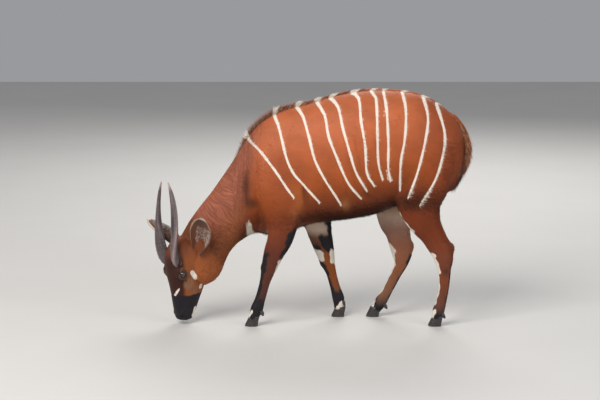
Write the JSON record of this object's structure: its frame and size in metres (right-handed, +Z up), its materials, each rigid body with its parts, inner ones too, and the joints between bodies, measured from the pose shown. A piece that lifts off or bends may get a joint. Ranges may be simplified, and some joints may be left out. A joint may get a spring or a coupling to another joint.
{
  "type": "bongo antelope",
  "caption": "Life-size still model of a striped forest antelope standing with its head down to graze, with spiral horns, leaf-shaped ears, a crest along the spine and cloven hooves.",
  "frame": {"origin": "centre of the bounding box, on the floor under the hooves", "axes": "+Z up, the nose points to -X, the animal's left side faces -Y"},
  "size_m": [1.7284, 0.4848, 1.2683],
  "materials": {
    "body_coat": "short chestnut coat with narrow white upright stripes",
    "neck_coat": "short red-brown coat over loose skin",
    "face_coat": "very short coat, dark forehead and muzzle, orange-brown cheeks with white spots",
    "leg_coat": "short brown coat with black and white patches",
    "ear_coat": "thin coat with long pale hairs inside",
    "tail_hair": "orange hair ending in a dark tuft",
    "horn": "smooth grey-brown horn with pale tips",
    "eye": "wet and very dark",
    "hoof": "black horn"
  },
  "bodies": {
    "root": {"torso": "body_coat", "neck": "neck_coat", "head": "face_coat", "tail": "tail_hair", "foreleg_left": "leg_coat", "foreleg_right": "leg_coat", "hindleg_left": "leg_coat", "hindleg_right": "leg_coat", "ear_left": "ear_coat", "ear_right": "ear_coat", "horn_left": "horn", "horn_right": "horn", "eye_left": "eye", "eye_right": "eye", "claw_fore_left_inner": "hoof", "dewclaw_fore_left_inner": "hoof", "claw_fore_left_outer": "hoof", "dewclaw_fore_left_outer": "hoof", "claw_fore_right_inner": "hoof", "dewclaw_fore_right_inner": "hoof", "claw_fore_right_outer": "hoof", "dewclaw_fore_right_outer": "hoof", "claw_hind_left_inner": "hoof", "dewclaw_hind_left_inner": "hoof", "claw_hind_left_outer": "hoof", "dewclaw_hind_left_outer": "hoof", "claw_hind_right_inner": "hoof", "dewclaw_hind_right_inner": "hoof", "claw_hind_right_outer": "hoof", "dewclaw_hind_right_outer": "hoof"}
  },
  "joints": []
}
